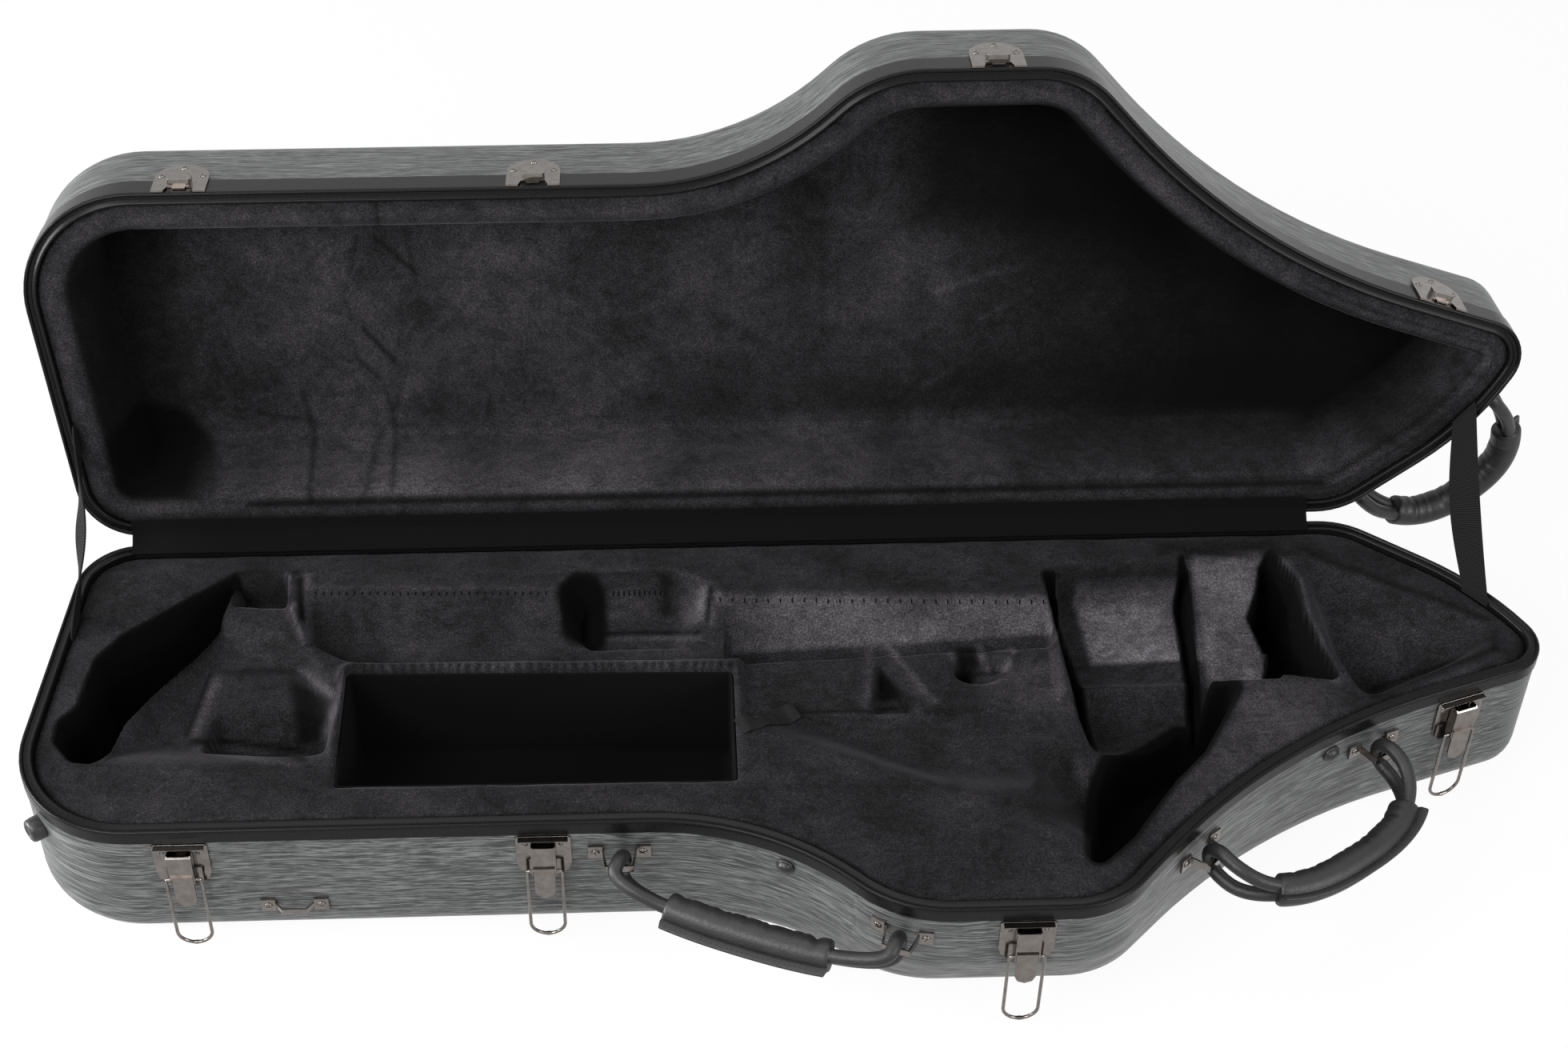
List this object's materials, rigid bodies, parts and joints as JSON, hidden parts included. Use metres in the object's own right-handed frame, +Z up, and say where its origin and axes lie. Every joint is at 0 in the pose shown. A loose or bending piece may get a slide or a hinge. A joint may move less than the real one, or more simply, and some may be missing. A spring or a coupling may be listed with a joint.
{
  "type": "baritone saxophone case",
  "caption": "Open hard case shaped for a baritone saxophone: plush-lined tray and hinged lid, drop latches, leather rope handles and stay straps.",
  "frame": {"origin": "on the flat underside, at the middle of the case's length", "axes": "+X along the case's length, towards the tapered end with the second handle; -Y towards the latches; +Z up, with the lid open above the hinge at +Y"},
  "size_m": [1.2168, 0.6086, 0.5243],
  "materials": {
    "shell": "dark grey with fine brushed streaks under a clear coat",
    "rim": "black satin moulding with two bead lines",
    "plush": "very dark purple-grey short plush over padding",
    "black_cloth": "black cloth",
    "smoked_nickel": "smoky dark nickel plate",
    "leather": "black grained leather",
    "webbing": "black ribbed webbing",
    "rubber": "black rubber"
  },
  "bodies": {
    "base": {"base_shell": "shell", "base_rim": "rim", "base_insert": "plush", "compartment_liner": "black_cloth", "ribbon_pull": "webbing", "hinge_leaf_base": "smoked_nickel", "hinge_pin": "smoked_nickel", "hinge_flap": "plush", "latch_plate_1": "smoked_nickel", "latch_plate_2": "smoked_nickel", "latch_plate_3": "smoked_nickel", "latch_plate_4": "smoked_nickel", "front_bracket_1": "smoked_nickel", "front_bracket_2": "smoked_nickel", "side_bracket_1": "smoked_nickel", "side_bracket_2": "smoked_nickel", "bumper_stud_1": "rubber", "bumper_stud_2": "rubber", "end_foot": "rubber", "strap_plate": "smoked_nickel", "left_stay_strap": "webbing", "right_stay_strap": "webbing"},
    "lid": {"lid_shell": "shell", "lid_rim": "rim", "lid_lining": "plush", "hinge_leaf_lid": "smoked_nickel", "latch_catch_1": "smoked_nickel", "latch_catch_2": "smoked_nickel", "latch_catch_3": "smoked_nickel", "latch_catch_4": "smoked_nickel", "rear_bracket_1": "smoked_nickel", "rear_bracket_2": "smoked_nickel"},
    "lever_1": {"latch_lever_1": "smoked_nickel"},
    "bail_1": {"latch_bail_1": "smoked_nickel"},
    "lever_2": {"latch_lever_2": "smoked_nickel"},
    "bail_2": {"latch_bail_2": "smoked_nickel"},
    "lever_3": {"latch_lever_3": "smoked_nickel"},
    "bail_3": {"latch_bail_3": "smoked_nickel"},
    "lever_4": {"latch_lever_4": "smoked_nickel"},
    "bail_4": {"latch_bail_4": "smoked_nickel"},
    "front_handle": {"front_handle": "leather"},
    "side_handle": {"side_handle": "leather"},
    "rear_handle": {"rear_handle": "leather"}
  },
  "joints": [
    {"name": "lid_hinge", "type": "hinge", "parent": "base", "child": "lid", "pos_m": [0, 0.2, 0.13], "axis": [1, 0, 0], "range_deg": [0, 102.6], "deforming": ["hinge_flap", "left_stay_strap", "right_stay_strap"]},
    {"name": "lever_1_pivot", "type": "hinge", "parent": "base", "child": "lever_1", "pos_m": [-0.46671, -0.11397, 0.108], "axis": [1, -0.0026, 0], "range_deg": [-110, 0]},
    {"name": "bail_1_pivot", "type": "hinge", "parent": "lever_1", "child": "bail_1", "pos_m": [-0.46671, -0.11497, 0.0835], "axis": [-1, 0.0026, 0], "range_deg": [0, 180]},
    {"name": "lever_2_pivot", "type": "hinge", "parent": "base", "child": "lever_2", "pos_m": [-0.1985, -0.11466, 0.108], "axis": [1, -0.0026, 0], "range_deg": [-110, 0]},
    {"name": "bail_2_pivot", "type": "hinge", "parent": "lever_2", "child": "bail_2", "pos_m": [-0.1985, -0.11566, 0.0835], "axis": [-1, 0.0026, 0], "range_deg": [0, 180]},
    {"name": "lever_3_pivot", "type": "hinge", "parent": "base", "child": "lever_3", "pos_m": [0.15466, -0.20558, 0.108], "axis": [1, -0.005, 0], "range_deg": [-110, 0]},
    {"name": "bail_3_pivot", "type": "hinge", "parent": "lever_3", "child": "bail_3", "pos_m": [0.15466, -0.20658, 0.0835], "axis": [-1, 0.005, 0], "range_deg": [0, 180]},
    {"name": "lever_4_pivot", "type": "hinge", "parent": "base", "child": "lever_4", "pos_m": [0.5211, 0.00147, 0.108], "axis": [0.951, 0.3092, 0], "range_deg": [-110, 0]},
    {"name": "bail_4_pivot", "type": "hinge", "parent": "lever_4", "child": "bail_4", "pos_m": [0.52141, 0.00052, 0.0835], "axis": [-0.951, -0.3092, 0], "range_deg": [0, 180]},
    {"name": "front_handle_swing", "type": "hinge", "parent": "base", "child": "front_handle", "pos_m": [-0.142, -0.12551, 0.096], "axis": [0.9257, -0.3782, 0], "range_deg": [-95, 50]},
    {"name": "side_handle_swing", "type": "hinge", "parent": "base", "child": "side_handle", "pos_m": [0.30544, -0.13364, 0.096], "axis": [0.8313, 0.5558, 0], "range_deg": [-75, 75]},
    {"name": "rear_handle_swing", "type": "hinge", "parent": "lid", "child": "rear_handle", "pos_m": [0.58163, 0.26268, 0.20872], "axis": [-0.7477, -0.1449, -0.6481], "range_deg": [-70, 90]}
  ]
}
